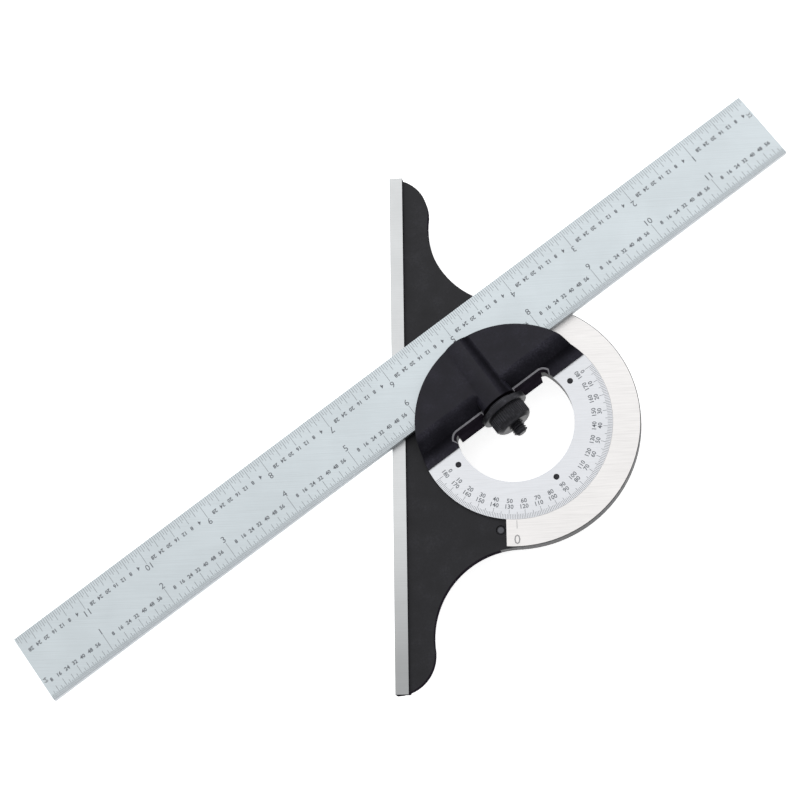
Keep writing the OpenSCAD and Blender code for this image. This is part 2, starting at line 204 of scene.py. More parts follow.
class ProtractorStageSettings(bpy.types.PropertyGroup):
    eye: FloatVectorProperty(
        name="Eye", description="Where the camera stands", subtype="TRANSLATION", unit="LENGTH",
        default=(99.8 * MM, -165.9 * MM, 676.6 * MM))
    gaze: FloatVectorProperty(
        name="Gaze", description="Where the camera looks", subtype="DIRECTION",
        default=(-0.139, 0.2516, -0.9578))
    head_up: FloatVectorProperty(
        name="Up", description="Which way is up in the picture", subtype="DIRECTION",
        default=(0.0488, 0.9677, 0.2472))
    lens: FloatProperty(
        name="Lens", description="Focal length in millimetres", default=93.58, min=1.0)
    sky: FloatProperty(name="Sky", description="Strength of the soft surround", default=1.08, min=0.0)
    key: FloatProperty(
        name="Key", description="Power of the light above the far end", default=2.6, min=0.0)


SETTINGS = {
    "protractor_edges": ProtractorEdgeSettings,
    "protractor_marks": ProtractorMarkSettings,
    "protractor_clamp": ProtractorClampSettings,
    "protractor_finish": ProtractorFinishSettings,
    "protractor_stage": ProtractorStageSettings,
}


# ---------------------------------------------------------------- materials


# The part of its range in which most of a noise's values lie
MIDDLE = {"From Min": 0.3, "From Max": 0.7}
MULTIPLY = {"data_type": "RGBA", "blend_type": "MULTIPLY"}


def connect(tree, node, inputs):
    """Sets or links each of a node's named inputs."""
    for key, value in inputs.items():
        if isinstance(value, bpy.types.NodeSocket):
            tree.links.new(value, node.inputs[key])
        else:
            node.inputs[key].default_value = value
    return node


def add(tree, kind, inputs, stops=(), **settings):
    """Adds a node with its properties, its ramp's (position, colour) stops and its inputs."""
    node = tree.nodes.new(kind)
    for key, value in settings.items():
        setattr(node, key, value)
    if stops:
        ramp = node.color_ramp.elements
        ramp[0].position, ramp[0].color = stops[0]
        ramp[1].position, ramp[1].color = stops[-1]
        for position, shade in stops[1:-1]:
            ramp.new(position).color = shade
    return connect(tree, node, inputs)


def new_material(name, shader):
    """A material with one Principled shader, and the tree's node for object coordinates."""
    made = bpy.data.materials.new(name)
    made.use_nodes = True
    tree = made.node_tree
    surface = connect(tree, tree.nodes["Principled BSDF"], shader)
    place = add(tree, "ShaderNodeTexCoord", {}).outputs["Object"]
    return made, tree, surface, place


def rgba(value, gain=1.0):
    """A colour with a gain, as four numbers."""
    return [min(1.0, channel * gain) for channel in value] + [1.0]


def brushed(tree, place, turn, pitch, run):
    """Fine parallel lines, pitch apart across and run long, turned about Z."""
    scaled = add(tree, "ShaderNodeMapping", {
        "Vector": place, "Rotation": (0, 0, -turn), "Scale": (1 / run, 1 / pitch, 1 / pitch),
    }, vector_type="POINT").outputs["Vector"]
    return add(tree, "ShaderNodeTexNoise", {
        "Vector": scaled, "Scale": 1.0, "Detail": 3.0, "Roughness": 0.6,
    }).outputs["Fac"]


def greyed(tree, place, tint, direction, stops):
    """A tint darkened along a direction, by (millimetres from the turret's axis, grey): used for
    painted shade.
    """
    low, high = stops[0][0], stops[-1][0]
    zero = AXIS.dot(direction)
    along = add(tree, "ShaderNodeVectorMath", {0: place, 1: direction},
                operation="DOT_PRODUCT").outputs["Value"]
    spot = add(tree, "ShaderNodeMapRange", {
        "Value": along, "From Min": zero + low * MM, "From Max": zero + high * MM,
    }).outputs["Result"]
    grey = add(tree, "ShaderNodeValToRGB", {"Fac": spot}, [
        ((mark - low) / (high - low), rgba([shade] * 3)) for mark, shade in stops
    ]).outputs["Color"]
    return add(tree, "ShaderNodeMix", {0: 1.0, 6: tint, 7: grey}, **MULTIPLY).outputs[2]


def wrinkle_enamel(name, base, sheen, shade_ramp=None):
    """Black wrinkle enamel, brushed on cast iron and baked: a low sheen over a fine skin of
    0.6 mm wrinkles, with slow swells in the casting under it. The last argument, if given, is a
    direction and its stops: painted shade that darkens the coat along that direction."""
    made, tree, surface, place = new_material(name, {"Specular IOR Level": sheen})
    wrinkle = add(tree, "ShaderNodeTexNoise", {
        "Vector": place, "Scale": 1 / (0.6 * MM), "Detail": 3.0, "Distortion": 0.8,
    }).outputs["Fac"]
    swell = add(tree, "ShaderNodeTexNoise", {
        "Vector": place, "Scale": 1 / (7 * MM), "Detail": 2.0,
    }).outputs["Fac"]
    tone = add(tree, "ShaderNodeMath", {0: wrinkle, 1: swell}, operation="MULTIPLY").outputs[0]
    coat = add(tree, "ShaderNodeValToRGB", {"Fac": tone}, [
        (0.12, rgba(base, 0.7)), (0.28, rgba(base)), (0.42, rgba(base, 1.5)),
    ]).outputs["Color"]
    if shade_ramp:
        coat = greyed(tree, place, coat, *shade_ramp)
    slow = add(tree, "ShaderNodeBump", {
        "Height": swell, "Strength": 0.25, "Distance": 0.3 * MM}).outputs["Normal"]
    connect(tree, surface, {
        "Base Color": coat,
        "Roughness": add(tree, "ShaderNodeMapRange", {
            "Value": wrinkle, **MIDDLE, "To Min": 0.36, "To Max": 0.52}).outputs["Result"],
        "Normal": add(tree, "ShaderNodeBump", {
            "Height": wrinkle, "Strength": 0.3, "Distance": 0.06 * MM, "Normal": slow,
        }).outputs["Normal"],
    })
    return made


def cut_metal(name, base, turn, pitch, run, rough, mottle=0.06, shade_fade=None):
    """Bare or plated metal with the straight lines of grinding, milling or brushing, which
    stretch its highlights across the lines, and a faint cloudiness from handling. The last
    argument, if given, is a direction and its stops: painted shade that darkens the metal along it."""
    made, tree, surface, place = new_material(name, {"Metallic": 1.0})
    lines = brushed(tree, place, turn, pitch, run)
    cloud = add(tree, "ShaderNodeTexNoise", {
        "Vector": place, "Scale": 1 / (14 * MM), "Detail": 3.0}).outputs["Fac"]
    streaks = add(tree, "ShaderNodeValToRGB", {"Fac": lines}, [
        (0.3, rgba(base, 0.93)), (0.5, rgba(base)), (0.7, rgba(base, 1.05)),
    ]).outputs["Color"]
    clouds = add(tree, "ShaderNodeValToRGB", {"Fac": cloud}, [
        (0.35, rgba([1 - mottle] * 3)), (0.65, rgba([1.0] * 3)),
    ]).outputs["Color"]
    tint = add(tree, "ShaderNodeMix", {0: 1.0, 6: streaks, 7: clouds}, **MULTIPLY).outputs[2]
    if shade_fade:
        tint = greyed(tree, place, tint, *shade_fade)
    connect(tree, surface, {
        "Base Color": tint,
        "Roughness": add(tree, "ShaderNodeMapRange", {
            "Value": lines, **MIDDLE, "To Min": rough * 0.88, "To Max": rough * 1.15,
        }).outputs["Result"],
        "Normal": add(tree, "ShaderNodeBump", {
            "Height": lines, "Strength": 0.35, "Distance": 0.01 * MM}).outputs["Normal"],
    })
    return made


def mottled(name, base, size, detail, gains, shader, rough=None, bump=None):
    """A finish that wanders over a noise of that size, from one (position, gain) of its base
    colour to the next. Rough is its lowest and highest roughness, and bump the strength and
    depth of its grain."""
    made, tree, surface, place = new_material(name, shader)
    grain = add(tree, "ShaderNodeTexNoise", {
        "Vector": place, "Scale": 1 / size, "Detail": detail}).outputs["Fac"]
    connect(tree, surface, {"Base Color": add(tree, "ShaderNodeValToRGB", {"Fac": grain}, [
        (position, rgba(base, gain)) for position, gain in gains]).outputs["Color"]})
    if rough:
        connect(tree, surface, {"Roughness": add(tree, "ShaderNodeMapRange", {
            "Value": grain, **MIDDLE, "To Min": rough[0], "To Max": rough[1],
        }).outputs["Result"]})
    if bump:
        connect(tree, surface, {"Normal": add(tree, "ShaderNodeBump", {
            "Height": grain, "Strength": bump[0], "Distance": bump[1]}).outputs["Normal"]})
    return made


def vial_glass():
    """Borosilicate tube: clear, with faint draw lines along it."""
    made, tree, surface, place = new_material(
        "vial_glass", {"Roughness": 0.03, "IOR": 1.47, "Transmission Weight": 1.0})
    lines = brushed(tree, place, RULE_TURN, 0.4 * MM, 12 * MM)
    connect(tree, surface, {"Base Color": add(tree, "ShaderNodeValToRGB", {"Fac": lines}, [
        (0.3, (0.93, 0.97, 0.95, 1.0)), (0.7, (0.98, 1.0, 0.99, 1.0)),
    ]).outputs["Color"]})
    return made


RULE_TURN = math.atan2(ALONG.y, ALONG.x)
# Painted shade on the land and up the slope, and in the fillet beside the bolt's ridge: the enamel is
# darkened along these directions
SLOPE_SHADE = (AWAY, [
    (6.2, 0.65), (7.25, 0.46), (8.0, 0.32), (8.75, 0.22), (9.8, 0.19), (10.1, 0.32),
    (11.0, 0.35), (12.5, 0.4), (13.3, 0.54), (14.0, 0.57), (14.8, 0.6)])
RIDGE_SHADE = (ALONG, [(1.8, 0.62), (2.8, 0.38), (3.6, 0.22), (4.4, 0.2), (5.3, 0.48)])
# Painted shade along the ground base: darker towards its lower end, a little darker towards the far
# end
BASE_SHADE = (Vector((0, 1, 0)), [(-82, 0.58), (-28, 1.0), (20, 0.97), (95, 0.85)])
# Paint wiped into engraved lines: matt, and greyed where the metal shows through
WIPED = (0.3 * MM, 2.0, [(0.35, 0.8), (0.7, 1.3)], {}, (0.5, 0.7))
RECIPES = {
    "enamel": lambda f: wrinkle_enamel("black_wrinkle_enamel", f.enamel, 0.26),
    "turret": lambda f: wrinkle_enamel("turret_black_enamel", f.turret, 0.22),
    # Painted shade: darker enamel with no sheen on the slope, the land and the ridge's crease
    "pooled": lambda f: wrinkle_enamel("slope_painted_shade_enamel", f.pooled, 0.0, SLOPE_SHADE),
    "crease": lambda f: wrinkle_enamel("crease_painted_shade_enamel", f.pooled, 0.0, RIDGE_SHADE),
    # Painted shade: darker enamel with no sheen on the castings' side walls and the window's wall
    "recess": lambda f: wrinkle_enamel("wall_painted_shade_enamel", f.recess, 0.0),
    # Painted highlight: grey, glossy enamel along the window's lip
    "lip": lambda f: wrinkle_enamel("lip_painted_highlight_enamel", f.lip, 0.5),
    # Iron ground along the base: streaks 0.25 mm apart that run its whole length, with painted shade
    # towards its lower end
    "ground_iron": lambda f: cut_metal(
        "ground_cast_iron", f.iron, math.pi / 2, 0.25 * MM, 30 * MM, 0.36, shade_fade=BASE_SHADE),
    # Iron milled across the pad: 0.35 mm feed lines, lighter and slightly warm
    "milled_pad": lambda f: cut_metal(
        "milled_cast_iron", f.pad, math.radians(60), 0.35 * MM, 12 * MM, 0.42, mottle=0.03),
    # Satin chrome over brushing that runs along the rule: pale, with broad soft highlights
    "satin_chrome": lambda f: cut_metal(
        "satin_chrome", f.chrome, RULE_TURN, 0.3 * MM, 25 * MM, 0.45, mottle=0.05),
    # The rule's edges, ground through the chrome: darker and a little sharper
    "rule_edge": lambda f: cut_metal(
        "ground_rule_edge", f.edge, RULE_TURN, 0.3 * MM, 20 * MM, 0.4),
    # The plate's chrome: whiter and duller than the rule's
    "dial_chrome": lambda f: cut_metal(
        "dial_satin_chrome", f.plate, RULE_TURN, 0.25 * MM, 8 * MM, 0.5, mottle=0.03),
    # Steel blackened in a hot salt bath and oiled: near black, with the metal's own sheen and
    # worn patches a little greyer
    "oxide": lambda f: mottled(
        "black_oxide_steel", f.oxide, 1.2 * MM, 4.0, [(0.35, 0.8), (0.6, 1.2), (0.75, 2.2)],
        {"Metallic": 0.75}, rough=(0.28, 0.42), bump=(0.2, 0.03 * MM)),
    # Turned steel: fine lathe marks, greyer than chrome
    "steel": lambda f: cut_metal("turned_steel", f.steel, 0.0, 0.2 * MM, 2 * MM, 0.38),
    # The screw's end, where handling has rubbed the black oxide grey
    "rubbed": lambda f: cut_metal("rubbed_black_oxide", f.rubbed, 0.0, 0.2 * MM, 2 * MM, 0.42),
    # Drawn spring steel: smooth, with short draw lines
    "spring": lambda f: cut_metal("music_wire", f.steel, 0.0, 0.15 * MM, 1 * MM, 0.3),
    # Drawn tube: warm, with draw lines along it
    "brass": lambda f: cut_metal("drawn_brass", f.brass, RULE_TURN, 0.2 * MM, 10 * MM, 0.32),
    "ink": lambda f: mottled("line_filling_ink", f.ink, *WIPED),
    "groove": lambda f: mottled("bare_engraved_line", f.groove, *WIPED),
    "glass": lambda f: vial_glass(),
    # Dyed mineral spirit: a clear yellow green that glows where light passes through
    "spirit": lambda f: mottled(
        "level_spirit", f.spirit, 5 * MM, 1.0, [(0.3, 0.9), (0.7, 1.1)],
        {"Roughness": 0.02, "IOR": 1.36, "Transmission Weight": 0.85}),
    # Moulded rubber: dull black with a fine grain from its mould
    "rubber": lambda f: mottled(
        "moulded_rubber", f.rubber, 0.25 * MM, 2.0, [(0.35, 0.8), (0.7, 1.4)],
        {"Roughness": 0.7}, bump=(0.4, 0.04 * MM)),
    # Matt white paper. It gives back a little more light than falls on it, as a lit sweep
    # does, so that shadows stay pale
    "paper": lambda f: mottled(
        "paper_sweep", f.floor, 2 * MM, 3.0, [(0.3, 0.985), (0.7, 1.0)],
        {"Roughness": 0.9, "Specular IOR Level": 0.1, "Emission Color": (1.0, 1.0, 1.0, 1.0),
         "Emission Strength": 0.75}),
}


@functools.cache
def material(key):
    """The material of that key, made the first time it is asked for."""
    return RECIPES[key](bpy.context.scene.protractor_finish)


# ---------------------------------------------------------------- modelling


def pick(piece):
    """Selects one object and nothing else."""
    bpy.ops.object.select_all(action="DESELECT")
    piece.select_set(True)
    bpy.context.view_layer.objects.active = piece
    return piece


def edit(piece, everything=True):
    """Opens one object's mesh in edit mode."""
    pick(piece)
    bpy.ops.object.mode_set(mode="EDIT")
    if everything:
        bpy.ops.mesh.select_all(action="SELECT")


def done():
    """Leaves edit mode."""
    bpy.ops.object.mode_set(mode="OBJECT")


def name_piece(piece, name):
    """Gives an object and its mesh one name."""
    piece.name = name
    piece.data.name = name
    return piece


def apply(piece, kind, **settings):
    """Adds a modifier, sets it and applies it."""
    pick(piece)
    modifier = piece.modifiers.new(kind.title(), kind)
    for key, value in settings.items():
        setattr(modifier, key, value)
    bpy.ops.object.modifier_apply(modifier=modifier.name)


def place(piece, matrix):
    """Moves a piece's mesh by a matrix, and leaves the object at the origin."""
    pick(piece)
    piece.matrix_world = matrix @ piece.matrix_world
    bpy.ops.object.transform_apply()
    return piece


def select(piece, kind, wanted):
    """Selects the edges or vertices whose points satisfy wanted(*points), in edit mode."""
    edit(piece, everything=False)
    bpy.ops.mesh.select_mode(type=kind)
    bpy.ops.mesh.select_all(action="DESELECT")
    done()
    vertices = piece.data.vertices
    if kind == "EDGE":
        for edge in piece.data.edges:
            edge.select = wanted(*(vertices[index].co for index in edge.vertices))
    else:
        for vertex in vertices:
            vertex.select = wanted(vertex.co)
    bpy.ops.object.mode_set(mode="EDIT")


def bevel(piece, wanted, width, segments, **settings):
    """Bevels the edges whose two ends satisfy wanted(a, b)."""
    select(piece, "EDGE", wanted)
    bpy.ops.mesh.bevel(offset=width, segments=segments, affect="EDGES", **settings)
    done()


def draw_in(piece, wanted, factor):
    """Scales the vertices that satisfy wanted(point) towards the Z axis."""
    select(piece, "VERT", wanted)
    bpy.ops.transform.resize(value=(factor, factor, 1), center_override=(0, 0, 0))
    done()


def whole_copy(node, name):
    """A copy of a CAD node with its triangles merged into whole flat faces."""
    pick(NODES[node])
    hidden = NODES[node].hide_viewport
    NODES[node].hide_viewport = False
    bpy.ops.object.duplicate()
    NODES[node].hide_viewport = hidden
    piece = name_piece(bpy.context.object, name)
    piece.parent = None
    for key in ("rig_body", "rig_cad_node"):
        del piece[key]
    piece.data.materials.clear()
    edit(piece)
    bpy.ops.mesh.customdata_custom_splitnormals_clear()
    bpy.ops.mesh.remove_doubles(threshold=2e-6)
    bpy.ops.mesh.dissolve_limited(angle_limit=math.radians(0.4))
    done()
    return piece


def soften(piece, width, segments=2, angle=30.0):
    """Breaks the sharp edges of a piece and shades its curved faces smooth."""
    if width > 0:
        apply(piece, "BEVEL", width=width, segments=segments, limit_method="ANGLE",
              angle_limit=math.radians(angle), use_clamp_overlap=True, miter_outer="MITER_ARC")
    pick(piece)
    bpy.ops.object.shade_smooth_by_angle(angle=math.radians(angle))
    apply(piece, "WEIGHTED_NORMAL", mode="FACE_AREA", weight=100, keep_sharp=True)
    return piece


def finish_piece(piece, body, slot, *keys, replaces=()):
    """Gives a piece its materials and its body. The slot is not used."""
    for index, key in enumerate(keys):
        if index < len(piece.data.materials):
            piece.data.materials[index] = material(key)
        else:
            piece.data.materials.append(material(key))
    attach(piece, body)
    if replaces:
        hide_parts(*replaces)
    return piece


def carried(node, name, body, slot, key, width, segments=2):
    """A whole copy of a CAD node in its place, with its edges broken and one finish."""
    piece = whole_copy(node, name)
    finish_piece(piece, body, slot, key, replaces=[node])
    return soften(piece, width, segments)


def paint_faces(piece, index, wanted):
    """Gives a material index to the faces that satisfy wanted(centre, normal)."""
    for face in piece.data.polygons:
        if wanted(face.center, face.normal):
            face.material_index = index


def join(pieces, name):
    """Joins pieces into the first one."""
    pick(pieces[0])
    for piece in pieces:
        piece.select_set(True)
    if len(pieces) > 1:
        bpy.ops.object.join()
    return name_piece(bpy.context.object, name)


def turned(name, outline, segments, ring=True):
    """A turned shape about Z: a circle, extruded and scaled from one (radius, height) of the
    outline to the next. A ring's outline closes on itself, and a bar's ends are filled."""
    first_radius, first_height = outline[0]
    bpy.ops.object.select_all(action="DESELECT")
    bpy.ops.mesh.primitive_circle_add(
        vertices=segments, radius=first_radius, location=(0, 0, first_height))
    piece = name_piece(bpy.context.object, name)
    bpy.ops.object.transform_apply()
    edit(piece)
    if not ring:
        bpy.ops.mesh.edge_face_add()
        bpy.ops.mesh.select_all(action="SELECT")
    path = outline[1:] + (outline[:1] if ring else [])
    last_radius, last_height = first_radius, first_height
    bpy.ops.mesh.select_mode(type="EDGE" if ring else "FACE")
    bpy.ops.mesh.select_all(action="SELECT")
    for radius, height in path:
        bpy.ops.mesh.extrude_region_move(
            TRANSFORM_OT_translate={"value": (0, 0, height - last_height)})
        factor = radius / last_radius
        bpy.ops.transform.resize(value=(factor, factor, 1), center_override=(0, 0, height))
        last_radius, last_height = radius, height
    bpy.ops.mesh.select_all(action="SELECT")
    bpy.ops.mesh.remove_doubles(threshold=1e-6)
    bpy.ops.mesh.normals_make_consistent(inside=False)
    done()
    return piece


def knurl(piece, teeth, radius, depth, low, high):
    """Cuts straight teeth round a turned piece: every other column of its vertices between
    two heights and at that radius moves in."""
    step = math.pi / teeth

    def in_groove(point):
        column = round(math.atan2(point.y, point.x) / step)
        return (column % 2 == 1 and low <= point.z <= high
                and abs(math.hypot(point.x, point.y) - radius) < NEAR)

    draw_in(piece, in_groove, (radius - depth) / radius)


# ---------------------------------------------------------------- graduations


def bars(first, step, count, end, width, proud):
    """Straight lines across Y, from just inside the edge to end, the first at that X."""
    start = 0.02 * MM
    bpy.ops.object.select_all(action="DESELECT")
    bpy.ops.mesh.primitive_cube_add(
        size=1, location=(first, (start + end) / 2, 0), scale=(width, end - start, 2 * proud))
    bar = bpy.context.object
    bpy.ops.object.transform_apply()
    if count > 1:
        apply(bar, "ARRAY", count=count, use_relative_offset=False, use_constant_offset=True,
              constant_offset_displace=(step, 0, 0))
    return bar


def rays(first, step, count, inner, outer, width, proud):
    """Lines of a dial about Z, from inner to outer radius, angles in degrees from X."""
    bpy.ops.object.select_all(action="DESELECT")
    bpy.ops.mesh.primitive_cube_add(
        size=1, location=((inner + outer) / 2, 0, 0), scale=(outer - inner, width, 2 * proud))
    bar = bpy.context.object
    bpy.ops.object.transform_apply()
    place(bar, Matrix.Rotation(math.radians(first), 4, "Z"))
    if count > 1:
        edit(bar)
        bpy.ops.mesh.spin(steps=count - 1, dupli=True, angle=math.radians(step * (1 - count)),
                          center=(0, 0, 0), axis=(0, 0, 1))
        done()
    return bar


def figure(text, height, proud, weight=0.0):
    """A number as a thin closed mesh, centred on the origin, its foot towards -Y."""
    bpy.ops.object.select_all(action="DESELECT")
    bpy.ops.object.text_add()
    label = bpy.context.object
    label.data.body = text
    label.data.resolution_u = 2
    label.data.extrude = 0.01
    label.data.offset = weight
    bpy.ops.object.convert(target="MESH")
    label = bpy.context.object
    low, high = corners(points_in(label))
    scale = height / (high.y - low.y)
    label.data.transform(
        Matrix.Diagonal((scale, scale, proud / high.z, 1))
        @ Matrix.Translation(-(low + high) / 2))
    edit(label)
    bpy.ops.mesh.remove_doubles(threshold=1e-6)
    bpy.ops.mesh.normals_make_consistent(inside=False)
    done()
    return label


def stamp(label, matrices):
    """Copies of a figure, each with its own mesh, one at each matrix. The first is removed."""
    copies = []
    for matrix in matrices:
        copy = label.copy()
        copy.data = label.data.copy()
        copy.data.transform(matrix)
        bpy.context.scene.collection.objects.link(copy)
        copies.append(copy)
    bpy.data.objects.remove(label)
    return copies


def rule_lines(inches, parts, lengths, marks):
    """The lines of one edge: X from its zero end, Y in from the edge, Z out of the face."""
    pieces = []
    for level, reach in enumerate(lengths[:-1]):
        step = INCH / parts * 2 ** (level + 1)
        width = marks.fine_line if level < 2 else marks.line
        pieces.append(
            bars(step / 2, step, round(inches * INCH / step), reach, width, marks.proud))
    pieces.append(bars(INCH, INCH, inches - 1, lengths[-1], marks.line, marks.proud))
    return pieces


# ---------------------------------------------------------------- operators


class PieceOperator:
    """What every operator of this file shares."""
    bl_options = {"REGISTER", "UNDO"}


class PROTRACTOR_OT_head(PieceOperator, bpy.types.Operator):
    """Cast head with its ground base, milled pad, index line and zero"""
    bl_idname = "protractor.head"
    bl_label = "Head"

    def execute(self, context):
        edges = context.scene.protractor_edges
        marks = context.scene.protractor_marks
        low, high = extent("head_frame")
        rim = high.x - AXIS.x
        pad_from = AXIS.x - 5 * MM  # Left of this there are only enamelled side walls
        strip = 4.6 * MM  # Width of the ground strip along the base's front
        head = whole_copy("head_frame", "head_casting")

        def on_top(centre, normal):
            return normal.z > 0.9 and centre.z > high.z - ROUGHLY

        def ground(centre, normal):
            return (on_top(centre, normal) and centre.x < strip
                    or normal.x < -0.99 and centre.x < NEAR
                    or normal.z < -0.99 and centre.z < low.z + ROUGHLY)

        finish_piece(head, "head", "black_casting", "enamel", "ground_iron", "milled_pad",
                     "recess", replaces=["head_frame"])
        # Painted shade: the side walls left of the pad get the darkened, sheenless wall enamel
        paint_faces(head, 3, lambda c, n: abs(n.z) < 0.3 and c.x < pad_from)
        paint_faces(head, 1, ground)
        paint_faces(head, 2, lambda c, n: on_top(c, n) and c.x > strip)

        def round_the_pad(a, b):
            return all(end.z > high.z - NEAR and end.x > pad_from
                       and abs((end - AXIS).xy.length - rim) < ROUGHLY for end in (a, b))

        bevel(head, round_the_pad, edges.pad, 3, material=0)
        soften(head, edges.casting, 3)

        plate_r = extent("degree_scale", TURRET)[1].x
        width = 1.5 * marks.line
        line = rays(-90, 0, 1, plate_r + 0.4 * MM, plate_r + 3.1 * MM, width, marks.proud)
        place(line, Matrix.Translation(AXIS))
        zero = figure("0", marks.zero_figure, marks.proud)
        place(zero, Matrix.Translation(AXIS + Vector((0, 2.5 * MM - rim, 0))))
        index = join([line, zero], "index_line")
        finish_piece(index, "head", "black_casting", "groove")
        return {"FINISHED"}


class PROTRACTOR_OT_turret(PieceOperator, bpy.types.Operator):
    """Revolving casting with its raised half, its slope and the ridge over the bolt"""
    bl_idname = "protractor.turret"
    bl_label = "Turret"

    def execute(self, context):
        edges = context.scene.protractor_edges
        rule_low, rule_high = extent("rule", TURRET)
        turret = whole_copy("turret_body", "turret_casting")
        place(turret, TURRET.inverted())
        finish_piece(turret, "turret", "black_casting", "enamel", "milled_pad", "recess", "lip",
                     "pooled", "turret", "crease", replaces=["turret_body"])
        points = points_in(turret)
        low = min(p.z for p in points)
        flat = min(p.y for p in points if p.z < low + ROUGHLY)
        plate_edge = extent("degree_scale", TURRET)[1].y
        land = max(p.z for p in points if abs(p.y - plate_edge) < NEAR)
        beside = 6 * MM  # From here on, X is clear of the ridge over the bolt
        cap = max(p.z for p in points if p.y < rule_low.y and abs(p.x) > 2 * beside)
        bolt_z = (TURRET.inverted() @ Vector(JOINTS["nut_turn"]["pos_m"])).z
        ridge_r = max(p.z for p in points) - bolt_z

        def on_ridge(centre):
            return abs(math.hypot(centre.x, centre.z - bolt_z) - ridge_r) < FACETED

        # Painted shade: the slope and the land get the darkened, sheenless enamel, and then the cap
        # and the ridge get the plain turret enamel
        paint_faces(turret, 4, lambda c, n: n.z > 0.3 and c.z > land - ROUGHLY)
        paint_faces(turret, 5, lambda c, n: n.z > 0.3 and (c.z > cap - NEAR or on_ridge(c)))
        # Painted shade in the crease, which begins down the ridge's right flank
        paint_faces(turret, 6, lambda c, n: n.z > 0.3 and 1.8 * MM < c.x < 5 * MM
                    and on_ridge(c))
        paint_faces(turret, 1, lambda c, n: n.z > 0.9 and c.y > rule_low.y - 2 * ROUGHLY
                    and abs(c.z - rule_low.z) < ROUGHLY)
        # Painted shade on the wall of the window's straight side
        paint_faces(turret, 2, lambda c, n: n.y < -0.7 and abs(c.y - flat) < ROUGHLY)

        def at(height, *ends):
            return all(abs(end.z - height) < NEAR for end in ends)

        def foot(a, b):
            return at(cap, a, b) and abs(a.x - b.x) < NEAR

        def slope_head(a, b):
            return at(cap, a, b) and abs(a.y - b.y) < NEAR and a.y < rule_low.y - 1 * MM

        def window_side(a, b):
            return (at(land, a, b) and plate_edge + 2 * MM < max(a.y, b.y) < flat + NEAR
                    and min(abs(a.x), abs(b.x)) > 5 * MM)

        bevel(turret, lambda a, b: foot(a, b) and -beside < a.x < 0, edges.ridge, 5)
        # The fillet on the ridge's right and the rounding at the slope's head carry painted shade
        bevel(turret, lambda a, b: foot(a, b) and 0 < a.x < beside, edges.crease, 4, material=6)
        bevel(turret, slope_head, edges.slope, 4, material=4)
        # The wall of the window's straight side is cut back, its chamfer in painted shade, and its
        # new edge gets a painted highlight
        bevel(turret, window_side, edges.cut_back, 1, material=2)
        spots = turret.data.vertices
        cut = {frozenset(tuple(spots[index].co) for index in key)
               for face in turret.data.polygons
               if face.material_index == 2 and 0.3 < face.normal.z < 0.95
               for key in face.edge_keys}
        bevel(turret, lambda a, b: at(land, a, b) and {tuple(a), tuple(b)} in cut,
              edges.lip, 3, material=3)
        place(turret, TURRET)
        soften(turret, edges.casting, 3)
        return {"FINISHED"}


class PROTRACTOR_OT_dial(PieceOperator, bpy.types.Operator):
    """Scale plate with its degree lines and figures, and the three pins that hold it"""
    bl_idname = "protractor.dial"
    bl_label = "Scale plate"

    def execute(self, context):
        edges = context.scene.protractor_edges
        marks = context.scene.protractor_marks
        carried("degree_scale", "scale_plate", "turret", "scale_plate", "dial_chrome",
                edges.plate * 0.6)

        corner = extent("degree_scale", TURRET)[1]
        edge = corner.x - 0.15 * MM
        # A line for each degree: how far in it reaches follows the ten, the five and the one
        pieces = [
            rays(0, -10, 19, corner.x - 3.1 * MM, edge, marks.line, marks.proud),
            rays(-5, -10, 18, corner.x - 2.4 * MM, edge, marks.line, marks.proud),
        ]
        pieces += [rays(first, -10, 18, corner.x - 1.7 * MM, edge, marks.fine_line, marks.proud)
                   for first in (-1, -2, -3, -4, -6, -7, -8, -9)]
        # Two rows of figures, the inner one counted backwards
        for row, radius in enumerate((corner.x - 4.2 * MM, corner.x - 6.1 * MM)):
            for degrees in range(0, 181, 10):
                turn = Matrix.Rotation(math.radians(90 - degrees), 4, "Z")
                label = figure(str(180 - degrees if row else degrees),
                               marks.degree_figure, marks.proud, marks.weight * 0.5)
                pieces += stamp(label, [turn @ Matrix.Translation((0, -radius, 0))])
        lines = join(pieces, "degree_lines")
        place(lines, TURRET @ Matrix.Translation((0, 0, corner.z)))
        finish_piece(lines, "turret", "scale_plate", "ink")

        for side in ("left", "middle", "right"):
            carried("scale_pin_" + side, side + "_scale_pin", "turret", "black_steel", "oxide",
                    edges.fitting, 3)
        return {"FINISHED"}


